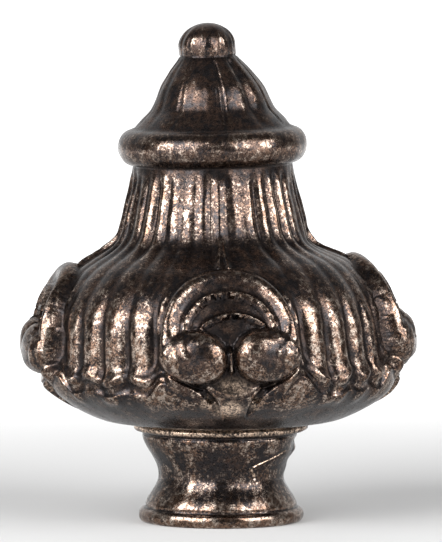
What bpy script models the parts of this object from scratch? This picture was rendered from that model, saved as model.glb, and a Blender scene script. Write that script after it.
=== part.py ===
"""A cast metal lamp finial with an antique bronze finish, as one solid casting.

From the base up it has a waisted foot with a tapped socket, a shallow bowl, a reeded mantle that
hangs over the bowl in a scalloped rim, a collar bead, a ribbed cone and a knob. Four scrolls stand
on the mantle, each an arched band that ends in two balls over a tongue.

The origin is on the centre line at the base plane, +Z is up and the front scroll faces -Y. Lengths
are in metres, and the casting rests on its foot.
"""

from math import cos, hypot, pi, radians, sin, sqrt, tau

import bmesh
import bpy

MM = 0.001

# Foot
BASE_RADIUS = 9.45 * MM
BASE_BEAD_HEIGHT = 1.5 * MM
BASE_EDGE = 0.5 * MM
WAIST_RADIUS = 7.1 * MM
WAIST_HEIGHT = 5.4 * MM
FOOT_HEIGHT = 11.1 * MM
FLANGE_RADIUS = 9.95 * MM
FLANGE_THICKNESS = 1.0 * MM
FLANGE_STEP = 0.9 * MM

# Tapped socket in the foot, drawn at the outside size of its 1/4 inch thread
SOCKET_RADIUS = 3.2 * MM
SOCKET_DEPTH = 9.5 * MM
SOCKET_CHAMFER = 0.45 * MM

# Bowl and the mantle over it
BOWL_HEIGHT = 5.5 * MM
MANTLE_HEIGHT = 24.5 * MM
BELLY_RADIUS = 19.9 * MM
NECK_RADIUS = 9.05 * MM
RIM_FLARE = 0.5 * MM
RIM_DROP = 0.7 * MM
RIM_STEP = 0.6 * MM
SCALLOP_RISE = 0.8 * MM
GABLE_RISE = 2.0 * MM
GABLE_ANGLE = radians(23)
GABLE_SPREAD = radians(7)

# Reeds of the mantle and ribs of the cone
REEDS = 36
NECK_REED_DEPTH = 0.3 * MM
BELLY_REED_DEPTH = 0.85 * MM
STEM_RISE = 0.25 * MM
RIBS = 16
RIB_DEPTH = 0.38 * MM

# Collar, cone and knob
COLLAR_RADIUS = 10.65 * MM
COLLAR_HEIGHT = 4.1 * MM
CONE_RADIUS = 8.85 * MM
CONE_HEIGHT = 7.9 * MM
CONE_TOP_RADIUS = 3.5 * MM
KNOB_RADIUS = 3.2 * MM
KNOB_HEIGHT = 3.9 * MM

# The casting stands a little crooked: how far its middle drifts to -X, and its rings tip
DRIFT = 1.6 * MM
TIP = radians(1.7)

# The four scrolls, each an arched band that curls into two balls over a tongue
SCROLLS = 4
BALL_HEIGHT = 3.9 * MM
BALL_RADIUS = 3.15 * MM
BALL_SPREAD = 3.75 * MM
BALL_RISE = 2.85 * MM
BAND_HALF_WIDTH = 7.8 * MM
BAND_HEIGHT = 10.6 * MM
BAND_WIDTH = 3.4 * MM
BAND_RISE = 2.1 * MM
BAND_TOP_RISE = 1.3 * MM
STEP_WIDTH = 1.5 * MM
STEP_SHARE = 0.45
TONGUE_LENGTH = 5.6 * MM
TONGUE_HALF_WIDTH = 3.2 * MM
TONGUE_TIP_HALF_WIDTH = 1.3 * MM
TONGUE_RISE = 0.6 * MM
TONGUE_RECESS = 0.4 * MM

# The mantle's outline from its rim to the collar: share of its height, share of the way from the
# neck's radius to the belly's
MANTLE_OUTLINE = [
    (0.00, 1.03),
    (0.08, 1.01),
    (0.17, 1.00),
    (0.26, 0.98),
    (0.35, 0.92),
    (0.44, 0.80),
    (0.53, 0.61),
    (0.57, 0.47),
    (0.605, 0.335),
    (0.64, 0.23),
    (0.69, 0.155),
    (0.80, 0.09),
    (0.88, 0.045),
    (1.00, 0.00),
]

# The bowl's outline from the foot to the rim: share of its height, share of the way out
BOWL_OUTLINE = [
    (0.00, 0.00),
    (0.03, 0.20),
    (0.08, 0.34),
    (0.16, 0.445),
    (0.245, 0.53),
    (0.41, 0.67),
    (0.58, 0.80),
    (0.70, 0.885),
    (0.83, 0.95),
    (1.00, 1.00),
]

# The cone's outline from the collar to the knob: share of its height, share of the way in
CONE_OUTLINE = [
    (0.00, 0.00),
    (0.12, 0.155),
    (0.26, 0.345),
    (0.40, 0.445),
    (0.58, 0.56),
    (0.80, 0.79),
    (1.00, 1.00),
]

# Share of the height over the bowl, share of the drift and share of the tip
CROOKED_OUTLINE = [
    (0.00, 0.00, 0.00),
    (0.08, 0.02, 0.20),
    (0.24, 0.30, 1.00),
    (0.34, 0.45, 1.00),
    (0.44, 0.52, 1.00),
    (0.56, 0.60, 0.85),
    (0.70, 0.60, 0.70),
    (0.80, 0.63, 0.80),
    (0.88, 0.80, 0.90),
    (0.95, 1.00, 1.00),
    (1.00, 1.00, 1.00),
]

BOWL_Z = FOOT_HEIGHT
RIM_Z = BOWL_Z + BOWL_HEIGHT
COLLAR_Z = RIM_Z + MANTLE_HEIGHT
CONE_Z = COLLAR_Z + COLLAR_HEIGHT
KNOB_Z = CONE_Z + CONE_HEIGHT
TOP_Z = KNOB_Z + KNOB_HEIGHT
BALL_Z = RIM_Z + BALL_HEIGHT


def blend(low, high, value):
    """0 at low, 1 at high, with a smooth step between them."""
    share = min(max((value - low) / (high - low), 0.0), 1.0)
    return share * share * (3 - 2 * share)


def crown(share):
    """1 in the middle of a round moulding, 0 from its edges on."""
    return sqrt(max(0.0, 1 - share * share))


def spread(low, high, count):
    """count even steps from low to high, both ends among them."""
    return [low + (high - low) * i / (count - 1) for i in range(count)]


def read_outline(outline, at):
    """The second number of an outline where its first is at, on a curve without overshoot."""
    if at <= outline[0][0]:
        return outline[0][1]
    if at >= outline[-1][0]:
        return outline[-1][1]
    index = max(i for i, point in enumerate(outline[:-1]) if point[0] <= at)

    def step(i):
        (x0, y0), (x1, y1) = outline[i], outline[i + 1]
        return (y1 - y0) / (x1 - x0)

    def slope(i):
        before, after = step(max(i - 1, 0)), step(min(i, len(outline) - 2))
        return 2 * before * after / (before + after) if before * after > 0 else 0.0

    (x0, y0), (x1, y1) = outline[index], outline[index + 1]
    width = x1 - x0
    t = (at - x0) / width
    ends = y0 * (1 + 2 * t) * (1 - t) ** 2 + y1 * t * t * (3 - 2 * t)
    return ends + width * t * (1 - t) * (slope(index) * (1 - t) - slope(index + 1) * t)


def repeat_angle(angle, count):
    """The angle from the nearest of count places that are spread evenly round a turn."""
    share = tau / count
    return (angle + share / 2) % share - share / 2


def reed_share(angle, count):
    """0 on the crest of one of count reeds, 1 in the groove beside it."""
    return abs(repeat_angle(angle, count)) / (pi / count)


def mantle_radius(z):
    share = read_outline(MANTLE_OUTLINE, (z - RIM_Z) / MANTLE_HEIGHT)
    flare = RIM_FLARE * (1 - blend(RIM_Z, RIM_Z + 3 * RIM_FLARE, z))
    return NECK_RADIUS + (BELLY_RADIUS - NECK_RADIUS) * share + flare


def bowl_radius(z):
    foot = FLANGE_RADIUS - FLANGE_THICKNESS / 4
    share = read_outline(BOWL_OUTLINE, (z - BOWL_Z) / BOWL_HEIGHT)
    return foot + (mantle_radius(RIM_Z) - RIM_STEP - foot) * share


def outline_lengths(radius_at, low, high, count=160):
    """Heights from low to high, each with the length of the outline up to it."""
    heights = spread(low, high, count)
    table = [(low, 0.0)]
    for below, above in zip(heights, heights[1:]):
        run = hypot(above - below, radius_at(above) - radius_at(below))
        table.append((above, table[-1][1] + run))
    return table


MANTLE_LENGTHS = outline_lengths(mantle_radius, RIM_Z, COLLAR_Z)
BALL_LENGTH = read_outline(MANTLE_LENGTHS, BALL_Z)


def height_at_length(length):
    """Height on the mantle at a length of its outline above the rim."""
    return read_outline([(run, z) for z, run in MANTLE_LENGTHS], length)


def scroll_relief(across, up):
    """Height of a scroll's carving at a place across it and up from its balls."""
    stretch = BAND_HALF_WIDTH / BAND_HEIGHT if up > 0 else 1.0
    outward = hypot(across, up * stretch)
    rise = BAND_RISE + (BAND_TOP_RISE - BAND_RISE) * blend(0, BAND_HEIGHT, up)
    middle = BAND_HALF_WIDTH - BAND_WIDTH / 2
    band = rise * crown((outward - middle) / (BAND_WIDTH / 2))
    step_middle = middle - BAND_WIDTH / 2
    step = STEP_SHARE * rise * (1 - blend(0, STEP_WIDTH, step_middle - outward))
    carving = max(band, step if outward < middle else 0.0) * blend(-BALL_RADIUS, 0, up)
    from_ball = hypot(abs(across) - BALL_SPREAD, up) / BALL_RADIUS
    return max(carving, BALL_RISE * crown(from_ball))


def scroll_cover(across, up):
    """1 where a scroll covers the mantle, 0 outside it."""
    stretch = BAND_HALF_WIDTH / BAND_HEIGHT if up > 0 else 1.0
    outward = hypot(across, up * stretch) / BAND_HALF_WIDTH
    band = (1 - blend(0.95, 1.05, outward)) * blend(-BALL_RADIUS, 0, up)
    from_ball = hypot(abs(across) - BALL_SPREAD, up) / BALL_RADIUS
    return max(band, 1 - blend(0.95, 1.1, from_ball))


def tongue_relief(across, down):
    """Height of the tongue at a place across it and down from the rim, and of its recesses."""
    share = down / TONGUE_LENGTH
    taper = (TONGUE_HALF_WIDTH - TONGUE_TIP_HALF_WIDTH) * min(max(share, 0.0), 1.0)
    aside = abs(across) / (TONGUE_HALF_WIDTH - taper)
    recess = TONGUE_RECESS * blend(0.9, 1.15, aside) * (1 - blend(1.3, 1.9, aside))
    ends = blend(-0.2, 0.1, share) * (1 - blend(0.8, 1, share))
    return (TONGUE_RISE * crown(aside) - recess) * ends


def reed_groove(angle, z):
    """Depth of the grooves between the mantle's reeds."""
    share = (z - RIM_Z) / MANTLE_HEIGHT
    depth = BELLY_REED_DEPTH + (NECK_REED_DEPTH - BELLY_REED_DEPTH) * blend(0.3, 0.62, share)
    return depth * (1 - blend(0.9, 1, share)) * reed_share(angle, REEDS) ** 2


def rim_lift(angle):
    """How far the scallops, and the gables beside each scroll, rise above the rim's lowest line."""
    aside = abs(repeat_angle(angle, SCROLLS))
    gable = GABLE_RISE * (1 - blend(0, GABLE_SPREAD, abs(aside - GABLE_ANGLE)))
    scallop = SCALLOP_RISE * reed_share(angle, REEDS) ** 2
    return max(gable, scallop * blend(0.7, 1, aside / GABLE_ANGLE))


def stand_off(radius_at, z, relief):
    """Radius and height of a point that stands off an outline by relief, square to it."""
    nudge = 0.05 * MM
    slope = (radius_at(z + nudge) - radius_at(z - nudge)) / (2 * nudge)
    tilt = hypot(1, slope)
    return radius_at(z) + relief / tilt, z - relief * slope / tilt


def mantle_point(angle, z):
    """Radius and height of the mantle; z is the height before the rim's scallops lift it."""
    z += rim_lift(angle) * (1 - blend(RIM_Z, BALL_Z, z))
    from_scroll = repeat_angle(angle, SCROLLS)
    across = from_scroll * mantle_radius(z)
    up = read_outline(MANTLE_LENGTHS, z) - BALL_LENGTH
    plain = 1 - scroll_cover(across, up)
    ridge = STEM_RISE * (1 - blend(0, pi / REEDS, abs(from_scroll)))
    ridge *= blend(BAND_HEIGHT, 1.1 * BAND_HEIGHT, up) * (1 - blend(COLLAR_Z - BALL_HEIGHT, COLLAR_Z, z))
    relief = scroll_relief(across, up) + ridge - reed_groove(angle, z) * plain
    return stand_off(mantle_radius, z, relief + tongue_relief(across, RIM_Z - z) * plain)


def bowl_point(angle, z):
    """Radius and height of the bowl, which follows the rim's scallops and carries the tongues."""
    across = repeat_angle(angle, SCROLLS) * bowl_radius(z)
    down = hypot(RIM_Z - z, bowl_radius(RIM_Z) - bowl_radius(z))
    radius, height = stand_off(bowl_radius, z, tongue_relief(across, down))
    return radius, height + rim_lift(angle) * blend(BOWL_Z + 0.4 * BOWL_HEIGHT, RIM_Z, z)


def cone_point(angle, z):
    share = (z - CONE_Z) / CONE_HEIGHT
    radius = CONE_RADIUS + (CONE_TOP_RADIUS - CONE_RADIUS) * read_outline(CONE_OUTLINE, share)
    ends = blend(0, 0.15, share) * (1 - blend(0.85, 1, share))
    return radius - RIB_DEPTH * ends * reed_share(angle, RIBS) ** 2, z


def crooked(x, y, z):
    """Where a point of the straight casting lies on the crooked one."""
    share = (z - BOWL_Z) / (TOP_Z - BOWL_Z)
    drift = DRIFT * read_outline([(row[0], row[1]) for row in CROOKED_OUTLINE], share)
    tip = TIP * read_outline([(row[0], row[2]) for row in CROOKED_OUTLINE], share)
    return x - drift, y, z + tip * x


def even_angles(count):
    return [tau * i / count for i in range(count)]


def carved_angles():
    """Angles round the belly: four to each reed, and closer together under the scrolls."""
    half = 2.5 * tau / REEDS
    quarter = spread(-half, half, 23)[:-1] + spread(half, tau / SCROLLS - half, 17)[:-1]
    turns = [angle + tau * i / SCROLLS for i in range(SCROLLS) for angle in quarter]
    return sorted(angle % tau for angle in turns)


class Casting:
    """Rings of points round the centre line, each joined to the one before it."""

    def __init__(self):
        self.mesh = bmesh.new()
        self.angles = []
        self.verts = []

    def ring(self, angles, point_at):
        """Adds a ring; point_at gives the radius and height at an angle from the front scroll."""
        verts = []
        for angle in angles:
            radius, z = point_at(angle)
            verts.append(self.mesh.verts.new(crooked(radius * sin(angle), -radius * cos(angle), z)))
        if self.verts:
            self.join(self.angles, self.verts, angles, verts)
        self.angles, self.verts = angles, verts

    def turned(self, columns, points):
        """Adds plain round rings through a list of (radius, height)."""
        for radius, z in points:
            self.ring(even_angles(columns), lambda angle: (radius, z))

    def carved(self, angles, heights, point_at):
        """Adds carved rings at each of the heights."""
        for z in heights:
            self.ring(angles, lambda angle: point_at(angle, z))

    def join(self, low_angles, low, high_angles, high):
        """Fills the strip between two rings, across the shorter diagonal where both go on."""
        low_angles = low_angles + [tau, 2 * tau]
        high_angles = high_angles + [tau, 2 * tau]
        i = j = 0
        while i < len(low) or j < len(high):
            a, next_a = low[i % len(low)], low[(i + 1) % len(low)]
            b, next_b = high[j % len(high)], high[(j + 1) % len(high)]
            lead = high_angles[j + 1] - low_angles[i + 1]
            if abs(lead) < 1e-6:
                lead = (next_b.co - a.co).length - (next_a.co - b.co).length
            if lead > 0:
                self.mesh.faces.new((a, next_a, b))
                i += 1
            else:
                self.mesh.faces.new((a, next_b, b))
                j += 1

    def close(self, z):
        """Closes the last ring on a point of the centre line at height z."""
        tip = self.mesh.verts.new(crooked(0, 0, z))
        for a, b in zip(self.verts, self.verts[1:] + self.verts[:1]):
            self.mesh.faces.new((a, b, tip))


def arc(radius_at, height_at, across, along, start, end, count):
    """Points (radius, height) on part of an ellipse, with its angles in degrees from straight out."""
    return [
        (radius_at + across * cos(a), height_at + along * sin(a))
        for a in spread(radians(start), radians(end), count)
    ]


def foot_outline():
    """Points up the foot's outside, from the base plane to the bowl."""
    half_bead = BASE_BEAD_HEIGHT / 2
    points = arc(BASE_RADIUS - BASE_EDGE, half_bead, BASE_EDGE, half_bead, -90, 70, 4)
    under_flange = FOOT_HEIGHT - FLANGE_THICKNESS
    for z in spread(BASE_BEAD_HEIGHT, under_flange, 10):
        below = (BASE_RADIUS - 1.5 * BASE_EDGE - WAIST_RADIUS) * (1 - blend(BASE_BEAD_HEIGHT, WAIST_HEIGHT, z))
        above = (FLANGE_RADIUS - FLANGE_STEP - WAIST_RADIUS) * blend(WAIST_HEIGHT, under_flange, z)
        points.append((WAIST_RADIUS + below + above, z))
    half = FLANGE_THICKNESS / 2
    return points + arc(FLANGE_RADIUS - half, FOOT_HEIGHT - half, half, half, -80, 60, 4)


def collar_outline():
    """Points up the collar bead, from the neck to the cone."""
    inside = (NECK_RADIUS + CONE_RADIUS) / 2
    half = COLLAR_HEIGHT / 2
    return arc(inside, COLLAR_Z + half, COLLAR_RADIUS - inside, 0.92 * half, -80, 80, 6)


def knob_outline():
    """Points up the knob's side and dome, without its tip."""
    side = 0.3 * KNOB_HEIGHT
    dome = arc(0, KNOB_Z + side, KNOB_RADIUS, KNOB_HEIGHT - side, 0, 72, 5)
    return [(KNOB_RADIUS, KNOB_Z)] + dome


def make_casting():
    casting = Casting()
    mouth = SOCKET_RADIUS + SOCKET_CHAMFER
    casting.turned(24, [(SOCKET_RADIUS, SOCKET_DEPTH)])
    casting.mesh.faces.new(casting.verts)
    casting.turned(24, [(SOCKET_RADIUS, SOCKET_CHAMFER), (mouth, 0)])
    casting.turned(36, foot_outline())
    belly = carved_angles()
    bowl_low, bowl_high = BOWL_Z + 0.04 * BOWL_HEIGHT, RIM_Z - RIM_DROP
    casting.carved(even_angles(72), spread(bowl_low, BOWL_Z + 0.3 * BOWL_HEIGHT, 4), bowl_point)
    casting.carved(belly, spread(BOWL_Z + 0.5 * BOWL_HEIGHT, bowl_high, 3), bowl_point)
    scroll_top = BALL_LENGTH + 1.03 * BAND_HEIGHT
    scroll_rows = [height_at_length(run) for run in spread(0, scroll_top, 16)]
    casting.carved(belly, scroll_rows, mantle_point)
    neck_rows = spread(scroll_rows[-1] + 0.6 * MM, COLLAR_Z, 6)
    casting.carved(even_angles(2 * REEDS), neck_rows, mantle_point)
    casting.turned(48, collar_outline())
    casting.carved(even_angles(2 * RIBS), spread(CONE_Z, KNOB_Z, 6), cone_point)
    casting.turned(24, knob_outline())
    casting.close(TOP_Z)
    bmesh.ops.recalc_face_normals(casting.mesh, faces=casting.mesh.faces)
    mesh = bpy.data.meshes.new("finial")
    casting.mesh.to_mesh(mesh)
    casting.mesh.free()
    return mesh


def bronze_finish():
    """Dark antique bronze over the casting."""
    material = bpy.data.materials.new("antique_bronze")
    material.use_nodes = True
    shader = material.node_tree.nodes["Principled BSDF"]
    shader.inputs["Base Color"].default_value = (0.11, 0.07, 0.05, 1)
    shader.inputs["Metallic"].default_value = 0.9
    shader.inputs["Roughness"].default_value = 0.3
    return material


def main():
    for obj in list(bpy.data.objects):
        bpy.data.objects.remove(obj)
    mesh = make_casting()
    mesh.materials.append(bronze_finish())
    mesh.shade_smooth()
    mesh.set_sharp_from_angle(angle=radians(50))
    finial = bpy.data.objects.new("finial", mesh)
    bpy.context.scene.collection.objects.link(finial)


main()
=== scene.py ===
"""A cast lamp finial in antique bronze, dressed over its solid: the casting, its finish, light and camera."""

from math import cos, pi, radians, sin, tau
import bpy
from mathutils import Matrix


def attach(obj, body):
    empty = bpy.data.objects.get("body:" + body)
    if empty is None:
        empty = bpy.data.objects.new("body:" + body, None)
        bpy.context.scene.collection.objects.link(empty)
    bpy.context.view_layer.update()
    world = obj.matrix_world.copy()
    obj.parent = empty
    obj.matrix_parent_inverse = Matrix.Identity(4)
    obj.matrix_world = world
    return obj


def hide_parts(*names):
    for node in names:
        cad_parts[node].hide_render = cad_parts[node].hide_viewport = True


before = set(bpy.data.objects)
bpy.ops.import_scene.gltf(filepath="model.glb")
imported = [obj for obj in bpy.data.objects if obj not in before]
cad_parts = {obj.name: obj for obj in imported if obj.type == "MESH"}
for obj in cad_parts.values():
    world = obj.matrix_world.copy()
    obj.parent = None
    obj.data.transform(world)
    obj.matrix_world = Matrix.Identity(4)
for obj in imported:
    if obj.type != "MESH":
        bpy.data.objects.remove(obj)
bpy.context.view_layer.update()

import bmesh
import bpy
import numpy as np
from mathutils import Matrix, Vector, noise

MM = 0.001

# Heights and radii of the casting, in millimetres
BASE_RADIUS = 9.45
BEAD_HEIGHT = 1.5
STEM_Z = 1.62
BEAD_FLARE = 1.62
FLANGE_FLARE = 1.95
WAIST_RADIUS = 7.1
WAIST_Z = 5.4
BOWL_Z = 11.1
FLANGE_RADIUS = 9.95
FLANGE_THICKNESS = 1.0
BOWL_TOP_RADIUS = 20.1
RIM_Z = 16.6
RIM_LOW_Z = RIM_Z - 1.3
RIM_HIGH_Z = RIM_Z + 0.5
BALL_Z = 20.5
COLLAR_Z = 41.1
COLLAR_MIDDLE_Z = 42.98
COLLAR_HALF_HEIGHT = 2.07
CONE_Z = 45.2
KNOB_Z = 53.1
KNOB_MIDDLE_Z = 54.4
TOP_Z = 57.0
BELLY_RADIUS = 19.9
NECK_RADIUS = 9.05
COLLAR_RADIUS = 10.65
CONE_RADIUS = 8.85
CONE_TOP_RADIUS = 3.5
KNOB_RADIUS = 3.2
SOCKET_DEPTH = 9.5
SOCKET_RADIUS = 3.0
SOCKET_MOUTH = 3.65
THREAD_PITCH = 25.4 / 27
THREAD_DEPTH = 0.17

# The casting's lean: how far its top drifts and how much its rings tip
DRIFT = 1.6
TIP = radians(1.7)

REEDS = 36
RIBS = 14
SCROLLS = 4
BAND_HALF_WIDTH = 7.8
BAND_HEIGHT = 10.7
BAND_MEAN_RADIUS = 9
BAND_RISE = 2.1
BAND_TOP_RISE = 1.3
BALL_SPREAD = 3.4
BALL_RADIUS = 3.05
BALL_OUTER_WIDTH = 4.15
BALL_INNER_WIDTH = 3.15
BALL_RISE = 2.85
FIN_RISE = 1.5
LIP_WALL = 0.28
LEAF_SHIFT = 0.15
LEAF_CUT_DEPTH = 0.5

# Columns of the mesh round each part, and how far they are drawn to the scrolls
FOOT_COLUMNS, BODY_COLUMNS, TOP_COLUMNS = 120, 384, 168
COLUMN_PULL = 0.42

# Outlines, as share of the way up and share of the way between the radii of their two ends
MANTLE_OUTLINE = [
    (0.00, 1.03), (0.08, 1.01), (0.17, 1.00), (0.26, 0.98), (0.35, 0.92), (0.44, 0.80), (0.53, 0.61),
    (0.57, 0.47), (0.605, 0.335), (0.64, 0.23), (0.69, 0.155), (0.80, 0.09), (0.88, 0.045), (1.00, 0.00),
]
BOWL_OUTLINE = [
    (0.00, 0.00), (0.04, 0.06), (0.075, 0.20), (0.14, 0.40), (0.20, 0.485), (0.265, 0.56), (0.33, 0.625),
    (0.41, 0.695), (0.58, 0.815), (0.70, 0.89), (0.83, 0.95), (1.00, 1.00), (1.20, 1.03), (1.50, 1.045),
]
CONE_OUTLINE = [
    (0.00, 0.00), (0.12, 0.155), (0.26, 0.345), (0.40, 0.445), (0.58, 0.56), (0.80, 0.79), (1.00, 1.00),
]

# The lean, as share of the way up from the bowl and share of the whole drift or tip
CROOKED_DRIFT = [
    (0.00, 0.00), (0.08, 0.02), (0.24, 0.30), (0.34, 0.45), (0.44, 0.52), (0.56, 0.60), (0.70, 0.60),
    (0.80, 0.63), (0.88, 0.80), (0.95, 1.00), (1.00, 1.00),
]
CROOKED_TIP = [
    (0.00, 0.00), (0.08, 0.20), (0.24, 1.00), (0.34, 1.00), (0.44, 1.00), (0.56, 0.85), (0.70, 0.70),
    (0.80, 0.80), (0.88, 0.90), (0.95, 1.00), (1.00, 1.00),
]

# The lips inside a scroll's arch as arcs: middle across and up from the balls, radius
OUTER_LIP = (0.1, 2.05, 4.9)
INNER_LIP = (0.5, -0.5, 5.08)

# How high the outer lip and the floor of the arch stand, and how far the inner lip stands over
# that floor, as shares of the band's rise
OUTER_LIP_RISE = 0.84
ARCH_FLOOR = -0.14
INNER_LIP_STEP = 0.7

# The arched band from its outer lip, 0, to its outer edge, 1, as share of its rise
BAND_SECTION = [
    (0.00, OUTER_LIP_RISE), (0.05, 0.80), (0.12, 0.54), (0.20, 0.46), (0.32, 0.52), (0.46, 0.74),
    (0.58, 0.93), (0.68, 1.00), (0.79, 0.95), (0.89, 0.74), (0.96, 0.38), (1.00, 0.02),
]
# The strip from the inner lip, 0, to the outer lip, 1, in the same way
STRIP_SECTION = [(0.00, 0.56), (0.08, 0.50), (0.22, 0.24), (0.60, 0.16), (1.00, 0.18)]

# How deep the grooves between the reeds are, from the rim, 0, to the collar, 1
REED_DEPTH = [
    (0.00, 0.90), (0.22, 0.85), (0.30, 0.62), (0.38, 0.30), (0.46, 0.16), (0.55, 0.16), (0.64, 0.34),
    (0.78, 0.42), (0.90, 0.32), (0.95, 0.12), (0.98, 0.00), (1.00, 0.00),
]

# The leaf under a scroll's balls, by height: its radius, its half width and the cut beside it
LEAF_RADIUS = [
    (12.6, 15.6), (13.0, 16.5), (13.8, 17.95), (14.97, 19.6), (15.6, 20.25), (16.3, 20.6), (16.9, 20.5),
    (17.6, 20.25), (18.5, 20.15), (19.8, 20.2),
]
LEAF_HALF_WIDTH = [
    (13.0, 1.2), (13.5, 1.35), (14.6, 1.6), (15.7, 2.0), (16.2, 2.35), (16.8, 2.9), (17.2, 3.2), (17.5, 2.9),
    (17.9, 2.1), (18.5, 1.3), (19.3, 0.5), (19.8, 0.05),
]
LEAF_CUT_WIDTH = [(13.4, 0.1), (14.2, 0.75), (15.2, 1.25), (16.2, 1.5), (17.2, 1.6), (18.2, 1.6)]

# Lumps and hollows of this one casting: degrees round from the front scroll and their reach,
# height and its reach, and how far each stands out
LUMPS = [
    (90, 32, 31.4, 1.35, -1.3), (92, 10, 18.3, 0.5, -1.5), (90, 14, 14.2, 1.3, 0.6), (88, 22, 9.2, 0.9, -0.7),
    (88, 30, 11.45, 0.25, -0.9),
]

# How far the rim rises, by degrees round from the front scroll: a gable beside each scroll and
# uneven scallops between them
RIM_LINE = [
    (-180, 0.0), (-170, 0.0), (-165, 0.6), (-157.5, 2.4), (-151, 1.2), (-146, 0.5), (-140, 1.2), (-134, 0.4),
    (-127, 1.3), (-121, 0.6), (-113, 2.2), (-105, 0.6), (-100, 0.0), (-80, 0.0), (-75, 0.6), (-67, 2.3),
    (-60.5, 0.4), (-52, 1.3), (-43.5, 0.3), (-35.5, 1.2), (-28.2, 0.6), (-22.5, 2.1), (-15, 0.6), (-10, 0.0),
    (10, 0.0), (15, 0.6), (22.5, 2.6), (28.5, 1.2), (33.5, 0.4), (39, 0.3), (44.4, 1.1), (49.5, 0.3),
    (55, 1.0), (60, 0.4), (67, 2.2), (75, 0.6), (80, 0.0), (100, 0.0), (105, 0.6), (113, 2.4), (119, 1.1),
    (126, 0.4), (133, 1.1), (140, 0.4), (146, 1.0), (151, 0.6), (157, 2.2), (165, 0.6), (170, 0.0),
    (180, 0.0),
]

# The scratch on the foot: its bent line as degrees round and height, the radius of the foot
# there, and how far from the line the mesh is made finer
SCRATCH_LINE = [(55.8, 8.38), (22.4, 6.59), (28.1, 5.63)]
SCRATCH_RADIUS = 7.4
SCRATCH_REACH = 0.6

# Colours of the finish
DARK_PATINA = (0.028, 0.025, 0.026, 1)
BROWN_PATINA = (0.085, 0.051, 0.037, 1)
WORN_BRONZE = (0.2, 0.125, 0.088, 1)
PALE_BRONZE = (0.46, 0.38, 0.32, 1)
BARE_BRONZE = (0.76, 0.57, 0.43, 1)
HOLLOW_BLACK = (0.008, 0.006, 0.006, 1)

# Where the camera stands, in degrees and metres, and the height that it looks at
VIEW_AZIMUTH, VIEW_ELEVATION, VIEW_DISTANCE = -4.1, 4.7, 0.85
VIEW_HEIGHT = 0.0286


def blend(low, high, value):
    """0 below low, 1 above high, and a smooth step between."""
    share = np.clip((value - low) / (high - low), 0, 1)
    return share * share * (3 - 2 * share)


def crown(share):
    """The height of a half round, 1 in its middle and 0 at its edge."""
    return np.sqrt(np.clip(1 - share * share, 0, None))


def bump(distance, half_width):
    """1 in the middle, and falling off softly to both sides."""
    return np.exp(-((distance / half_width) ** 2))


def read(table, at):
    """Reads a table at many places, on a curve without overshoot."""
    x, y = np.array(table, float).T
    at = np.clip(at, x[0], x[-1])
    step = np.diff(y) / np.diff(x)
    before, after = np.concatenate([step[:1], step]), np.concatenate([step, step[-1:]])
    product = before * after
    slope = np.where(product > 0, 2 * product / np.where(product > 0, before + after, 1), 0)
    i = np.clip(np.searchsorted(x, at, side="right") - 1, 0, len(x) - 2)
    width = x[i + 1] - x[i]
    t = (at - x[i]) / width
    ends = y[i] * (1 + 2 * t) * (1 - t) ** 2 + y[i + 1] * t * t * (3 - 2 * t)
    return ends + width * t * (1 - t) * (slope[i] * (1 - t) - slope[i + 1] * t)


def from_repeat(angle, count):
    """Angle from the middle of the nearest of so many repeats round the axis."""
    share = tau / count
    return (angle + share / 2) % share - share / 2


def grain(angle, z, size, seed):
    """Soft noise round the casting, from -1 to 1, in lumps of about that size."""
    x, y = 14 * np.sin(angle) / size + seed, 14 * np.cos(angle) / size
    return np.array([noise.noise(place) for place in zip(x, y, z / size)])


# Outlines, as radius and height


def mantle_radius(z):
    return NECK_RADIUS + (BELLY_RADIUS - NECK_RADIUS) * read(MANTLE_OUTLINE, (z - RIM_Z) / (COLLAR_Z - RIM_Z))


def bowl_radius(z):
    foot = FLANGE_RADIUS - FLANGE_THICKNESS / 4
    return foot + (BOWL_TOP_RADIUS - foot) * read(BOWL_OUTLINE, (z - BOWL_Z) / (RIM_Z - BOWL_Z))


def arc(r, z, across, along, start, end):
    """Points of (radius, height) on part of an ellipse; 0 degrees is outward and 90 is up."""
    turn = np.radians(np.linspace(start, end, 60))
    return np.stack([r + across * np.cos(turn), z + along * np.sin(turn)], axis=1)


def evenly(points, spacing):
    """Points along a line of (radius, height), spaced evenly."""
    points = np.array(points, float)
    run = np.concatenate([[0], np.cumsum(np.hypot(*np.diff(points, axis=0).T))])
    at = np.linspace(0, run[-1], max(2, int(round(run[-1] / spacing)) + 1))
    return [(float(np.interp(s, run, points[:, 0])), float(np.interp(s, run, points[:, 1]))) for s in at]


def foot_outline():
    """From the end of the socket down its wall, out over the seat and up to the bowl."""
    z = np.arange(SOCKET_DEPTH - 0.3, 0.7, -THREAD_PITCH / 3)
    socket = [(0, SOCKET_DEPTH + 0.9), (SOCKET_RADIUS - 0.3, SOCKET_DEPTH)] + [(SOCKET_RADIUS, h) for h in z]
    seat = [(SOCKET_MOUTH, 0.0), (5.5, 0.0), (7.4, 0.0)]
    bead = evenly(arc(BASE_RADIUS - 0.5, 0.75, 0.5, 0.75, -90, 62), 0.17)
    z = np.linspace(STEM_Z, BOWL_Z - FLANGE_THICKNESS + 0.15, 160)
    below = BEAD_FLARE * (1 - blend(BEAD_HEIGHT + 0.1, WAIST_Z - 0.2, z))
    above = FLANGE_FLARE * blend(WAIST_Z, BOWL_Z - FLANGE_THICKNESS, z)
    stem = evenly(np.stack([WAIST_RADIUS + below + above, z], axis=1), 0.25)
    half = FLANGE_THICKNESS / 2
    flange = evenly(arc(FLANGE_RADIUS - half, BOWL_Z - half + 0.25, half, half, -75, 70), 0.15)
    return socket + seat + bead + stem + flange


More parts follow.
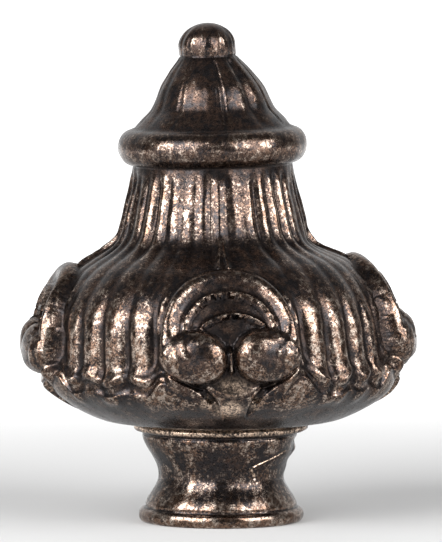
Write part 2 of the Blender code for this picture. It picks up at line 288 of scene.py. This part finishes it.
def body_outline():
    """Up the bowl, round the rim and up the mantle; the rim's points are placed by rim_point."""
    z = np.linspace(BOWL_Z + 0.28, RIM_LOW_Z, 200)
    bowl = evenly(np.stack([bowl_radius(z), z], axis=1), 0.27)
    rim = [(0, -share) for share in np.linspace(0.06, 0.94, 16)]
    z = np.linspace(RIM_HIGH_Z, COLLAR_Z, 900)
    mantle = np.stack([mantle_radius(z), z], axis=1)
    low = evenly(mantle[z < 31.3], 0.172)
    return bowl + rim + low + evenly(mantle[z > 31.5], 0.36)


def top_outline():
    """Up the collar, the cone and the knob to the tip."""
    inside = (NECK_RADIUS + CONE_RADIUS) / 2
    outward = COLLAR_RADIUS + 0.15 - inside
    collar = evenly(arc(inside, COLLAR_MIDDLE_Z, outward, COLLAR_HALF_HEIGHT, -74, 78), 0.27)
    z = np.linspace(CONE_Z, KNOB_Z, 120)
    share = read(CONE_OUTLINE, (z - CONE_Z) / (KNOB_Z - CONE_Z))
    cone = evenly(np.stack([CONE_RADIUS + (CONE_TOP_RADIUS - CONE_RADIUS) * share, z], axis=1), 0.32)
    dome = evenly(arc(0, KNOB_MIDDLE_Z, KNOB_RADIUS, TOP_Z - KNOB_MIDDLE_Z, 0, 90), 0.24)
    return collar + cone + [(KNOB_RADIUS - 0.1, KNOB_Z + 0.12), (KNOB_RADIUS, KNOB_Z + 0.4)] + dome


# Reliefs, square to the outline. Angles are from the front scroll.

# Length along the mantle's outline, from the middle of the balls, by height
LENGTH_Z = np.linspace(RIM_Z - 2, COLLAR_Z, 1400)
LENGTHS = np.concatenate([[0], np.cumsum(np.hypot(np.diff(LENGTH_Z), np.diff(mantle_radius(LENGTH_Z))))])
LENGTHS -= np.interp(BALL_Z, LENGTH_Z, LENGTHS)


def stand_off(radius_at, z, relief):
    """Radius and height of points that stand off an outline, square to it, by their relief."""
    slope = (radius_at(z + 0.05) - radius_at(z - 0.05)) / 0.1
    tilt = np.hypot(1, slope)
    return radius_at(z) + relief / tilt, z - relief * slope / tilt


def reed_share(angle, z):
    """0 on the crest of the nearest reed, 1 in the groove beside it; the reeds wander a little."""
    wander = 0.8 * np.sin(3 * angle + 0.6) + 0.6 * np.sin(5 * angle + 0.08 * z + 2.0)
    return np.abs(from_repeat(angle - np.radians(wander), REEDS)) / (pi / REEDS)


def uneven(index, seed):
    """A number from 0 to 1 that belongs to one reed or rib of the casting."""
    return np.abs(np.sin(index * 12.9898 + seed) * 43758.5453) % 1


def groove_strength(angle, count, seed):
    """How strong the groove there is beside the others, from 0.2 to 1.45."""
    return 0.2 + 1.25 * uneven(np.floor((angle % tau) / (tau / count)), seed)


def rim_lift(angle):
    """How far the rim rises there over its plain height."""
    return read(RIM_LINE, np.degrees(from_repeat(angle, 1)))


def gable_share(angle):
    """1 under the gables, 0 between the scrolls."""
    aside = np.degrees(np.abs(from_repeat(angle, SCROLLS)))
    return blend(9, 17, aside) * (1 - blend(25, 31, aside))


def snap_to_lines(u, v):
    """Draws points close to one of the band's edges onto it, so that the edge runs clean."""
    new_u, new_v, pull = u.copy(), v.copy(), np.full_like(u, 0.16)
    inside = np.hypot(u - OUTER_LIP[0], v - OUTER_LIP[1]) < OUTER_LIP[2] - LIP_WALL
    for (across, up, radius), allowed in ((OUTER_LIP, v > 0.8), (INNER_LIP, inside & (v > 0.8))):
        away = np.maximum(np.hypot(u - across, v - up), 0.1)
        for line in (radius, radius - LIP_WALL):
            near = (np.abs(away - line) < pull) & allowed
            new_u[near] = across + (u - across)[near] * line / away[near]
            new_v[near] = up + (v - up)[near] * line / away[near]
            pull[near] = np.abs(away - line)[near]
    q = np.maximum(np.hypot(u / BAND_HALF_WIDTH, v / BAND_HEIGHT), 1e-6)
    away = np.abs(q - 1) * q / np.maximum(np.hypot(u / BAND_HALF_WIDTH**2, v / BAND_HEIGHT**2), 1e-6)
    near = (away < pull) & (v > 0.8)
    new_u[near], new_v[near] = (u / q)[near], (v / q)[near]
    return new_u, new_v


def scroll_relief(u, v):
    """Height of a scroll's carving, how far it covers the mantle, and the distance from its middle
    as share of the band's outer edge; u is across and v up from its balls."""
    up = np.maximum(v, 0)
    q = np.hypot(u / BAND_HALF_WIDTH, up / BAND_HEIGHT)
    rise = BAND_RISE + (BAND_TOP_RISE - BAND_RISE) * blend(2, BAND_HEIGHT, v)
    from_outer = np.hypot(u - OUTER_LIP[0], up - OUTER_LIP[1]) - OUTER_LIP[2]
    from_inner = np.hypot(u - INNER_LIP[0], up - INNER_LIP[1]) - INNER_LIP[2]
    to_edge = np.maximum((1 - q) * BAND_MEAN_RADIUS, 0)
    t = from_outer / np.maximum(from_outer + to_edge, 1e-3)
    band = read(BAND_SECTION, t)
    filled = (1 - blend(1.0, 5.5, v)) * blend(0.05, 0.35, t) * (1 - blend(0.66, 0.8, t))
    band = band + filled * (1.05 - band)
    strip = read(STRIP_SECTION, from_inner / np.maximum(from_inner - from_outer, 1e-3))
    strip = strip + (OUTER_LIP_RISE - strip) * (1 - blend(0, LIP_WALL, -from_outer))
    middle = ARCH_FLOOR + INNER_LIP_STEP * (1 - blend(0, LIP_WALL, -from_inner))
    band = rise * np.where(from_outer > 0, band, np.where(from_inner > 0, strip, middle)) * (q < 1)

    aside = np.abs(u) - BALL_SPREAD
    width = np.where(aside > 0, BALL_OUTER_WIDTH - 0.75 * blend(0, 2.2, v), BALL_INNER_WIDTH)
    at = np.hypot(aside / width, v / BALL_RADIUS)
    low = np.hypot(aside / 4.4, np.minimum(v, 0) / BALL_RADIUS)
    under = crown(-v / (BALL_RADIUS * crown(np.minimum(aside / 4.5, 1)) + 0.01))
    band = band * np.where(v > 0, 1, under * blend(0, 2.2, aside))
    rounding = 2.6 + 0.3 * blend(-1.5, 1, v)
    ball = BALL_RISE * np.clip(1 - at**rounding, 0, None) ** (1.05 / rounding)
    merge = 0.01 + 1.6 * blend(-0.8, 1.0, aside)
    lean = np.clip(0.5 + 0.5 * (band - ball) / merge, 0, 1)
    swelling = merge * lean * (1 - lean) * (np.minimum(band, ball) > 0.1)
    lined = (v > -1.2) & (at > 1) & (aside < 1.6)
    rim = -0.35 * bump(at - 1.06, 0.06) * lined * (1 - blend(-0.4, 1.2, aside))
    fin = FIN_RISE * bump(u + 0.05, 0.24) * blend(-2.2, -1.3, v) * (1 - blend(0.4, 1.6, v))
    relief = np.maximum(np.maximum(band + rim, ball) + swelling, fin)
    at_balls = np.where(v > 0, at, np.minimum(at, low))
    cover = np.maximum((1 - blend(0.97, 1.03, q)) * (v > 0), 1 - blend(0.98, 1.1, at_balls))
    return relief, cover, q


def add_leaf(r, z, from_scroll, ball=0):
    """Lays a scroll's leaf over the surface, with a cut down each side of it. Where the balls
    stand out further than the leaf, they stay."""
    u = from_scroll * r - LEAF_SHIFT
    half = read(LEAF_HALF_WIDTH, z)
    side, cut = np.abs(u) - half, read(LEAF_CUT_WIDTH, z)
    deep = LEAF_CUT_DEPTH * blend(-0.1, 0.2, side) * (1 - blend(cut - 0.55, cut, side))
    r = r - deep * (1 - blend(17.0, 18.4, z)) * (z > 13)
    leaf = (1 - blend(0.88, 1.05, np.abs(u) / half)) * blend(12.75, 13.15, z) * (1 - blend(19.6, 20, z))
    crease = 0.22 * bump(z - 16.0 - 0.12 * u * u, 0.2)
    target = np.maximum(read(LEAF_RADIUS, z) - 0.1 * (u / half) ** 2 - crease, ball)
    return r + leaf * (target - r)


def mantle_point(angle, z):
    """Radius, height and angle on the mantle; z is the height before the rim's gables lift it."""
    lift = rim_lift(angle)
    z = z + lift * (1 - blend(RIM_HIGH_Z, RIM_Z + 5.5, z))
    from_scroll = from_repeat(angle, SCROLLS)
    u, v = from_scroll * mantle_radius(z), np.interp(z, LENGTH_Z, LENGTHS)
    new_u, new_v = snap_to_lines(u, v)
    new_z = np.interp(new_v, LENGTHS, LENGTH_Z)
    turn = new_u / mantle_radius(new_z) - from_scroll
    inside = np.abs(v - 6) < 6
    turn, z = np.where(inside, turn, 0), np.where(inside, new_z, z)
    u, v = np.where(inside, new_u, u), np.where(inside, new_v, v)
    aside = np.degrees(np.abs(from_scroll))

    carving, cover, q = scroll_relief(u, v)
    share = (z - RIM_Z) / (COLLAR_Z - RIM_Z)
    depth = read(REED_DEPTH, share)
    neck = blend(0.5, 0.66, share)
    depth = depth * (1 + neck * (groove_strength(angle, REEDS, 3.0) - 1))
    near_rim = 1 - blend(1, 5, z - RIM_Z - lift)
    depth = depth * (1 - 0.5 * near_rim * (1 - blend(24, 30, aside)))
    groove = depth * reed_share(angle + turn, z) ** (2.6 - 0.9 * neck)

    # A thin ridge beside the band, and over its top a stem that forks at its foot
    fillet = 0.34 * bump(q - 1.085, 0.02) - 0.15 * bump(q - 1.04, 0.025)
    fillet = fillet * blend(0, 2, v) * (1 - blend(6.5, 8.5, v))
    spread = 0.25 + 0.3 * (1 - blend(11.6, 14.5, v))
    spread = spread + 0.75 * (1 - blend(BAND_HEIGHT - 0.5, BAND_HEIGHT + 0.7, v))
    stem = 0.42 * bump(np.abs(u) - spread, 0.2) * blend(BAND_HEIGHT - 0.5, BAND_HEIGHT, v)
    stem = stem * (1 - blend(14, 17, v))
    stem = stem + 0.2 * bump(u, 0.6) * blend(13, 16, v) * (1 - blend(COLLAR_Z - 4, COLLAR_Z - 0.5, z))

    above_rim = z - RIM_Z - 0.5 - lift
    flare = 0.5 * bump(above_rim, 0.8) * blend(18, 24, aside)
    flare = flare - 0.2 * bump(above_rim - 0.1, 0.8) * blend(8, 12, aside) * (1 - blend(17, 21, aside))
    relief = carving + (fillet + flare - groove) * (1 - cover) + stem
    ball = mantle_radius(z) + carving
    r, z = stand_off(mantle_radius, z, relief)
    return add_leaf(r, z, from_scroll, ball), z, angle + turn


def bowl_point(angle, z):
    """Radius, height and angle on the bowl, with its tongues, the cuts beside them and the swellings."""
    from_scroll = from_repeat(angle, SCROLLS)
    aside = np.degrees(np.abs(from_scroll))
    down = RIM_Z - z
    gabled, lift = gable_share(angle), rim_lift(angle)
    pulled = gabled * blend(12.0, RIM_LOW_Z, z) ** 1.3 + 0.3 * (1 - gabled) * blend(14.0, RIM_LOW_Z, z)
    z = z + lift * pulled
    swell = 0.4 * bump(aside - 21, 8) * bump(z - 16.0, 2.2)
    nose = 0.3 * (1 - gabled) * blend(20, 26, aside) * (1 - blend(0.3, 0.9, lift)) * bump(down - 1.3, 0.6)
    r, z = stand_off(bowl_radius, z, swell + nose)
    return add_leaf(r, z, from_scroll), z, angle


def rim_point(angle, share):
    """From the bowl's top up to the mantle: under the reeds a ledge and a hollow below their lip,
    beside the balls the sharp top edge of a petal, and below them the leaf with its crease."""
    low_r, low_z, _ = bowl_point(angle, np.full_like(angle, RIM_LOW_Z))
    high_r, high_z, turned = mantle_point(angle, np.full_like(angle, RIM_HIGH_Z))
    from_scroll = from_repeat(angle, SCROLLS)
    aside = np.degrees(np.abs(from_scroll))
    lipped = blend(17, 23, aside)
    petal = blend(7, 11, aside) * (1 - lipped)
    at = np.array([0, 0.1, 0.2, 0.32, 0.45, 0.6, 0.72, 0.83, 0.92, 1])
    out = lipped * np.interp(share, at, [0, 0.1, 0.1, -0.12, -0.3, -0.38, -0.28, -0.04, 0.04, 0])
    out = out + petal * np.interp(share, at, [0, 0.08, 0.18, 0.3, 0.42, 0.55, 0.62, 0.6, 0.3, 0])
    up = lipped * np.interp(share, at, [0, 0, 0, -0.02, -0.01, -0.02, -0.04, -0.05, -0.03, 0])
    reach = np.maximum(high_r - low_r, 0.8)
    r = low_r + (high_r - low_r) * share + out * reach
    z = low_z + (high_z - low_z) * (share + up)
    return add_leaf(r, z, from_scroll), z, angle + (turned - angle) * share


def foot_point(angle, r, z, inside):
    """The foot, with its thread inside. Outside it has a groove over its bead and one under its
    flange, and to the right a beaded burr on the flange and a seam of flash below it."""
    thread = THREAD_DEPTH * np.cos(tau * z / THREAD_PITCH - angle)
    thread = thread * blend(0.7, 1.4, z) * (z < SOCKET_DEPTH - 0.2)
    right = bump(np.degrees(from_repeat(angle - radians(52), 1)), 26)
    flange = bump(z - BOWL_Z + 0.2, 0.5)
    beads = 0.22 * np.sin(angle * 46 + 1.2 * np.sin(9 * angle)) * flange * right
    seam = 0.25 * bump(np.degrees(from_repeat(angle - radians(86), 1)), 7)
    seam = seam * blend(4.5, 7, z) * (1 - blend(9.6, 10.2, z)) * (0.6 + 0.6 * np.sin(2.3 * z + 0.8))
    cut = -0.3 * bump(z - (BOWL_Z - FLANGE_THICKNESS + 0.08), 0.16)
    groove = -0.16 * bump(z - STEM_Z, 0.16)
    slip = np.where(inside, thread, beads + seam + cut + groove)
    return r + slip, z, angle


def cone_point(angle, r, z):
    """The cone, with its uneven ribs and the thin lines beside some of them."""
    share = (z - CONE_Z) / (KNOB_Z - CONE_Z)
    wander = np.radians(3.2 * np.sin(2 * angle + 1.0) + 2.4 * np.sin(5 * angle + 0.5))
    rib = np.abs(from_repeat(angle + wander, RIBS)) / (pi / RIBS)
    on = blend(0.0, 0.1, share) * (1 - blend(0.9, 1.0, share))
    thin = bump(rib - 0.75, 0.12) * (uneven(np.floor((angle % tau) / (tau / RIBS)), 1.0) > 0.4)
    r = r - 0.22 * blend(0.8, 1.0, share)
    return r + (0.12 * thin - 0.3 * groove_strength(angle + wander, RIBS, 7.0) * rib**3) * on, z, angle


def crooked(x, z):
    """The casting's lean: it drifts to the left as it rises, and its rings tip with it."""
    share = (z - BOWL_Z) / (TOP_Z - BOWL_Z)
    return x - DRIFT * read(CROOKED_DRIFT, share), z + TIP * read(CROOKED_TIP, share) * x


def carve(part, angle, r, z):
    """Where the points of one turned part lie on the casting."""
    angle = angle - COLUMN_PULL * np.sin(SCROLLS * angle) / SCROLLS
    if part == "foot":
        inside = r < SOCKET_MOUTH - 0.1
        out_r, out_z, turned = foot_point(angle, r, z, inside)
        rough = np.where(inside | (z < 0.05), 0, blend(0.1, 0.6, z))
    elif part == "body":
        out_r, out_z, turned = np.empty_like(r), np.empty_like(z), angle.copy()
        places = [
            (z < 0, rim_point, -z),
            ((z >= 0) & (z < RIM_Z), bowl_point, z),
            (z >= RIM_Z, mantle_point, z),
        ]
        for where, point_at, height in places:
            out_r[where], out_z[where], turned[where] = point_at(angle[where], height[where])
        rough = np.ones_like(r)
    else:
        out_r, out_z, turned = r.copy(), z.copy(), angle.copy()
        cone = (z >= CONE_Z) & (z <= KNOB_Z) & (r <= CONE_RADIUS + 0.01)
        out_r[cone], out_z[cone], turned[cone] = cone_point(angle[cone], r[cone], z[cone])
        rough = 1 - blend(56.2, 56.9, z)
    lumps = 0.11 * grain(angle, out_z, 3.4, 11.0) + 0.05 * grain(angle, out_z, 1.3, 5.0)
    side = np.degrees(from_repeat(angle, 1))
    for middle, reach, height, tall, out in LUMPS:
        lumps = lumps + out * bump(side - middle, reach) * bump(out_z - height, tall)
    out_r = out_r + lumps * rough
    x, out_z = crooked(out_r * np.sin(turned), out_z)
    return np.stack([x, -out_r * np.cos(turned), out_z], axis=1)


def turn_part(bm, part, outline, columns):
    """Spins an outline a quarter turn, repeats the quarter round the axis and carves it.
    Returns the edges and the vertices of its first and of its last ring."""
    row = bm.verts.layers.int["row"]
    old = set(bm.verts)
    line = [bm.verts.new((0, -0.02, i * MM)) for i in range(len(outline))]
    for i, vert in enumerate(line):
        vert[row] = i
    edges = [bm.edges.new(pair) for pair in zip(line, line[1:])]
    bmesh.ops.spin(bm, geom=line + edges, axis=(0, 0, 1), angle=tau / 4, steps=columns // 4)
    verts = [v for v in bm.verts if v not in old]
    quarter = verts + [e for e in bm.edges if e.verts[0] not in old]
    quarter += [f for f in bm.faces if f.verts[0] not in old]
    for turn in (1, 2, 3):
        copy = bmesh.ops.duplicate(bm, geom=quarter)["geom"]
        copied = [v for v in copy if isinstance(v, bmesh.types.BMVert)]
        bmesh.ops.rotate(bm, verts=copied, matrix=Matrix.Rotation(turn * tau / 4, 3, "Z"))
        verts += copied
    bmesh.ops.remove_doubles(bm, verts=verts, dist=0.01 * MM)
    verts = [v for v in bm.verts if v not in old]
    rows = np.array([v[row] for v in verts])
    places = np.array([v.co for v in verts])
    base = np.array(outline, float)[rows]
    points = carve(part, np.arctan2(places[:, 0], -places[:, 1]), base[:, 0], base[:, 1]) * MM
    for vert, point in zip(verts, points):
        vert.co = point
    ends = [{v for v in verts if v[row] == i} for i in (0, len(outline) - 1)]
    return [[e for e in bm.edges if e.verts[0] in end and e.verts[1] in end] for end in ends], ends


def raise_scratch(bm):
    """The bent hair-line scratch on the foot and its burr, raised on a finer patch of its mesh."""
    ridge = bm.verts.layers.float["ridge"]
    line = [Vector((radians(a) * SCRATCH_RADIUS, z)) for a, z in SCRATCH_LINE]

    def away(vert):
        x, y, z = vert.co / MM
        place = Vector((np.arctan2(x, -y) * SCRATCH_RADIUS, z))
        gaps = []
        for a, b in zip(line, line[1:]):
            share = min(max((place - a).dot(b - a) / (b - a).length_squared, 0), 1)
            gaps.append(place - a - share * (b - a))
        return min(gaps, key=lambda gap: gap.length)

    def beside():
        low, high = 5 * MM, 9.2 * MM
        front = [v for v in bm.verts if v.co.y < 0 < v.co.x and low < v.co.z < high]
        return {v for v in front if v.co.xy.length > 5 * MM and away(v).length < SCRATCH_REACH}

    near = beside()
    edges = [e for e in bm.edges if e.verts[0] in near and e.verts[1] in near]
    bmesh.ops.subdivide_edges(bm, edges=edges, cuts=3, use_grid_fill=True)
    for vert in beside():
        gap = away(vert)
        out = Vector((vert.co.x, vert.co.y, 0)).normalized()
        lift = 0.15 * bump(gap.length, 0.09) - 0.09 * bump(gap.y + 0.2, 0.1) * bump(gap.x, 0.3)
        vert.co += out * float(lift) * MM
        vert[ridge] = float(bump(gap.length, 0.13))


def make_casting():
    bm = bmesh.new()
    bm.verts.layers.int.new("row")
    bm.verts.layers.float.new("ridge")
    (_, foot_top), foot_ends = turn_part(bm, "foot", foot_outline(), FOOT_COLUMNS)
    (body_low, body_high), _ = turn_part(bm, "body", body_outline(), BODY_COLUMNS)
    (top_low, _), top_ends = turn_part(bm, "top", top_outline(), TOP_COLUMNS)
    bmesh.ops.bridge_loops(bm, edges=foot_top + body_low)
    bmesh.ops.bridge_loops(bm, edges=body_high + top_low)
    bmesh.ops.remove_doubles(bm, verts=list(foot_ends[0] | top_ends[1]), dist=0.01 * MM)
    raise_scratch(bm)
    bmesh.ops.recalc_face_normals(bm, faces=bm.faces)
    open_edges = [e for e in bm.edges if len(e.link_faces) != 2]
    print("casting:", sum(len(f.verts) - 2 for f in bm.faces), "triangles,", len(open_edges), "open edges")
    mesh = bpy.data.meshes.new("finial_casting")
    bm.to_mesh(mesh)
    bm.free()
    mesh.shade_smooth()
    return mesh


def neighbour_mean(values, edges, counts):
    """Mean of each vertex's neighbours, for values with one row a vertex."""
    out = np.empty_like(values)
    for k in range(values.shape[1]):
        total = np.bincount(edges[:, 0], values[edges[:, 1], k], len(values))
        out[:, k] = total + np.bincount(edges[:, 1], values[edges[:, 0], k], len(values))
    return out / counts[:, None]


def mark_wear(mesh):
    """Stores where the finish is rubbed bare, and how proud or sunk each point is: edge for fine
    forms, high for broad ones."""
    count = len(mesh.vertices)
    places = np.empty(count * 3)
    mesh.vertices.foreach_get("co", places)
    places = places.reshape(-1, 3) / MM
    normals = np.array([v.vector for v in mesh.vertex_normals])
    edges = np.empty(len(mesh.edges) * 2, int)
    mesh.edges.foreach_get("vertices", edges)
    edges = edges.reshape(-1, 2)
    counts = np.bincount(edges.ravel(), minlength=count).astype(float)
    rubbed = np.empty(count)
    mesh.attributes["ridge"].data.foreach_get("value", rubbed)

    # Rubbed bare: the scratch, each tongue's tip, the leaf, the cuts beside it, the flange's edge
    x, y, z = places.T
    r = np.hypot(x, y)
    u = from_repeat(np.arctan2(x, -y), SCROLLS) * r
    bare = np.maximum(rubbed, 0.95 * bump(u + 0.4, 1.5) * bump(z - 14.55, 1.0))
    bare = np.maximum(bare, 0.45 * bump(u + 0.15, 2.3) * bump(z - 17.1, 1.3))
    bare = np.maximum(bare, 0.42 * bump(np.abs(u + 0.15) - 2.7, 1.1) * bump(z - 15.2, 1.1))
    bare = np.maximum(bare, 0.85 * (bump(z - 10.95, 0.4) * blend(9.3, 9.7, r)))
    mesh.attributes.new("bare", "FLOAT", "POINT").data.foreach_set("value", bare)

    smooth = places
    for name, rounds, size in (("edge", 4, 0.03), ("high", 40, 0.22)):
        for _ in range(rounds):
            smooth = 0.5 * smooth + 0.5 * neighbour_mean(smooth, edges, counts)
        proud = np.einsum("ij,ij->i", places - smooth, normals) / size
        proud = np.maximum(proud, rubbed) if name == "edge" else proud
        layer = mesh.attributes.new(name, "FLOAT", "POINT")
        layer.data.foreach_set("value", np.clip(0.5 + 0.5 * proud, 0, 1))


# Finish


class Nodes:
    """A short hand for the nodes of one material or world."""

    def __init__(self, tree):
        self.tree = tree
        tree.nodes.clear()

    def add(self, kind, inputs=(), **settings):
        node = self.tree.nodes.new(kind)
        for name, value in settings.items():
            setattr(node, name, value)
        for name, value in dict(inputs).items():
            if isinstance(value, bpy.types.NodeSocket):
                self.tree.links.new(value, node.inputs[name])
            else:
                node.inputs[name].default_value = value
        return node

    def noise(self, place, scale, detail, rough, distortion):
        inputs = {
            "Vector": place, "Scale": scale, "Detail": detail,
            "Roughness": rough, "Distortion": distortion,
        }
        return self.add("ShaderNodeTexNoise", inputs).outputs["Fac"]

    def range(self, value, low, high, to_low=0.0, to_high=1.0):
        inputs = {"Value": value, "From Min": low, "From Max": high, "To Min": to_low, "To Max": to_high}
        return self.add("ShaderNodeMapRange", inputs, interpolation_type="SMOOTHSTEP").outputs["Result"]

    def math(self, operation, a, b, clamp=False):
        return self.add("ShaderNodeMath", {0: a, 1: b}, operation=operation, use_clamp=clamp).outputs[0]

    def mix(self, share, a, b):
        return self.add("ShaderNodeMix", {0: share, 6: a, 7: b}, data_type="RGBA").outputs[2]

    def attribute(self, name):
        return self.add("ShaderNodeAttribute", attribute_name=name).outputs["Fac"]


def antique_bronze():
    """Dark patina over rubbed bronze: worn bright on edges and highs, near black in the hollows."""
    material = bpy.data.materials.new("antique_bronze")
    material.use_nodes = True
    n = Nodes(material.node_tree)
    place = n.add("ShaderNodeTexCoord").outputs["Object"]
    edge, high = n.attribute("edge"), n.attribute("high")
    cloud = n.noise(place, 380.0, 3.0, 0.6, 0.6)
    blotch = n.noise(place, 1350.0, 3.0, 0.65, 0.4)
    speck = n.noise(place, 3700.0, 2.0, 0.65, 0.5)
    pit = n.noise(place, 5200.0, 2.0, 0.7, 1.0)
    height = n.add("ShaderNodeSeparateXYZ", {"Vector": place}).outputs["Z"]
    brown = n.math("ADD", n.range(cloud, 0.35, 0.65, 0.0, 0.6), n.range(blotch, 0.35, 0.65, -0.25, 0.55))
    brown = n.math("SUBTRACT", brown, n.range(height, 0.018, 0.0145, 0.0, 0.3), clamp=True)
    patina = n.mix(brown, DARK_PATINA, BROWN_PATINA)

    # Worn on edges and highs, in blotches and specks
    worn = n.math("ADD", n.range(edge, 0.52, 1.0, 0.0, 0.7), n.range(high, 0.5, 0.9, 0.0, 0.1))
    worn = n.math("ADD", worn, n.range(blotch, 0.42, 0.68, 0.0, 0.25))
    worn = n.math("ADD", worn, n.range(speck, 0.42, 0.6, -0.2, 0.5))
    worn = n.math("MULTIPLY", worn, n.range(cloud, 0.3, 0.62, 0.6, 1.0))
    # By height, in metres: more worn on the neck and the foot, less on the bowl and above the collar
    worn = n.math("ADD", worn, n.range(height, 0.0295, 0.033, 0.0, 0.25))
    worn = n.math("ADD", worn, n.range(height, 0.0072, 0.0058, 0.0, 0.3))
    worn = n.math("MULTIPLY", worn, n.range(height, 0.0135, 0.0175, 0.9, 1.0))
    worn = n.math("MULTIPLY", worn, n.range(height, 0.0394, 0.0407, 1.0, 0.55), clamp=True)
    metal = n.mix(n.range(blotch, 0.42, 0.66), WORN_BRONZE, PALE_BRONZE)
    colour = n.mix(n.range(worn, 0.4, 1.0), patina, metal)

    # Black in the hollows and pits, and bare metal in specks where the mesh is marked so
    sunk = n.math("ADD", n.range(edge, 0.48, 0.15), n.range(high, 0.48, 0.1), clamp=True)
    dark = n.math("ADD", n.math("MULTIPLY", sunk, 0.6), n.range(pit, 0.5, 0.4, 0.0, 0.85), clamp=True)
    colour = n.mix(dark, colour, HOLLOW_BLACK)
    bare = n.math("MULTIPLY", n.range(n.attribute("bare"), 0.1, 0.7), n.range(speck, 0.4, 0.56, 0.05, 1.0))
    bare = n.math("MULTIPLY", bare, n.range(blotch, 0.36, 0.56, 0.35, 1.0))
    colour = n.mix(bare, colour, BARE_BRONZE)

    rough = n.range(blotch, 0.3, 0.7, 0.14, 0.24)
    rough = n.math("ADD", rough, n.math("MULTIPLY", dark, 0.2))
    grain_height = n.math("ADD", n.math("MULTIPLY", speck, 0.6), n.math("MULTIPLY", blotch, 1.3))
    bumps = n.add("ShaderNodeBump", {"Height": grain_height, "Strength": 0.5, "Distance": 0.00003})
    shader = n.add("ShaderNodeBsdfPrincipled", {
        "Base Color": colour, "Metallic": n.range(worn, 0.2, 0.7, 0.82, 1.0),
        "Roughness": rough, "Normal": bumps.outputs["Normal"],
    })
    n.add("ShaderNodeOutputMaterial", {"Surface": shader.outputs[0]})
    return material


def dress_casting():
    mesh = make_casting()
    mark_wear(mesh)
    mesh.materials.append(antique_bronze())
    casting = bpy.data.objects.new("finial_casting", mesh)
    bpy.context.scene.collection.objects.link(casting)
    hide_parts("finial")
    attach(casting, "root")


# Floor, light and camera


def lay_floor():
    bm = bmesh.new()
    bmesh.ops.create_circle(bm, cap_ends=True, segments=96, radius=4.0)
    mesh = bpy.data.meshes.new("floor")
    bm.to_mesh(mesh)
    bm.free()
    material = bpy.data.materials.new("pale_floor")
    material.use_nodes = True
    n = Nodes(material.node_tree)
    place = n.add("ShaderNodeTexCoord").outputs["Object"]
    away = n.add("ShaderNodeVectorMath", {0: place, 1: (0, -0.08, 0)}, operation="DISTANCE").outputs["Value"]
    shader = n.add("ShaderNodeBsdfPrincipled", {
        "Base Color": (0.6, 0.6, 0.6, 1), "Roughness": 0.9,
        "Emission Color": (1, 1, 1, 1), "Emission Strength": n.range(away, 0.11, 0.34, 0.0, 1.0),
    })
    n.add("ShaderNodeOutputMaterial", {"Surface": shader.outputs[0]})
    mesh.materials.append(material)
    floor = bpy.data.objects.new("floor", mesh)
    bpy.context.scene.collection.objects.link(floor)


def direction(azimuth, elevation):
    """The way to a place round the casting, from 0 degrees in front and on to the right."""
    a, e = radians(azimuth), radians(elevation)
    return Vector((sin(a) * cos(e), -cos(a) * cos(e), sin(e)))


def aim(obj, place, target):
    """Puts a light or the camera in its place, turned to its target."""
    obj.location = place
    obj.rotation_euler = (target - place).to_track_quat("-Z", "Y").to_euler()
    bpy.context.scene.collection.objects.link(obj)


def soft_box(name, azimuth, elevation, distance, width, height, radiance):
    """A soft light that stands in degrees and metres round the casting, unseen by the camera."""
    light = bpy.data.lights.new(name, "AREA")
    light.shape = "RECTANGLE"
    light.size, light.size_y = width, height
    light.energy = radiance * pi * width * height
    box = bpy.data.objects.new(name, light)
    middle = Vector((0, 0, 0.03))
    aim(box, direction(azimuth, elevation) * distance + middle, middle)
    box.visible_camera = False


def light_studio():
    soft_box("left_box", -50, 25, 0.6, 0.5, 0.32, 6.0)
    soft_box("left_glow", -49, 25, 0.62, 0.64, 0.56, 3.8)
    soft_box("right_box", 50, 25, 0.6, 0.5, 0.32, 4.6)
    soft_box("right_glow", 49, 25, 0.62, 0.62, 0.56, 2.5)
    world = bpy.data.worlds.new("studio")
    bpy.context.scene.world = world
    world.use_nodes = True
    n = Nodes(world.node_tree)
    way = n.add("ShaderNodeTexCoord").outputs["Generated"]
    back = n.add("ShaderNodeSeparateXYZ", {"Vector": way}).outputs["Y"]
    seen = n.add("ShaderNodeLightPath").outputs["Is Camera Ray"]
    shade = n.mix(n.range(back, 0.1, 0.8), (0.13, 0.13, 0.13, 1), (0.75, 0.75, 0.75, 1))
    colour = n.mix(seen, shade, (1, 1, 1, 1))
    glow = n.add("ShaderNodeBackground", {"Color": colour, "Strength": 1.0})
    n.add("ShaderNodeOutputWorld", {"Surface": glow.outputs[0]})
    bpy.context.scene.view_settings.view_transform = "Standard"


def set_camera():
    camera = bpy.data.cameras.new("camera")
    camera.sensor_fit = "VERTICAL"
    camera.sensor_height = 36
    camera.lens = 494
    camera.clip_start, camera.clip_end = 0.05, 20
    eye = bpy.data.objects.new("camera", camera)
    target = Vector((0, 0, VIEW_HEIGHT))
    aim(eye, target + direction(VIEW_AZIMUTH, VIEW_ELEVATION) * VIEW_DISTANCE, target)
    bpy.context.scene.camera = eye


dress_casting()
lay_floor()
light_studio()
set_camera()
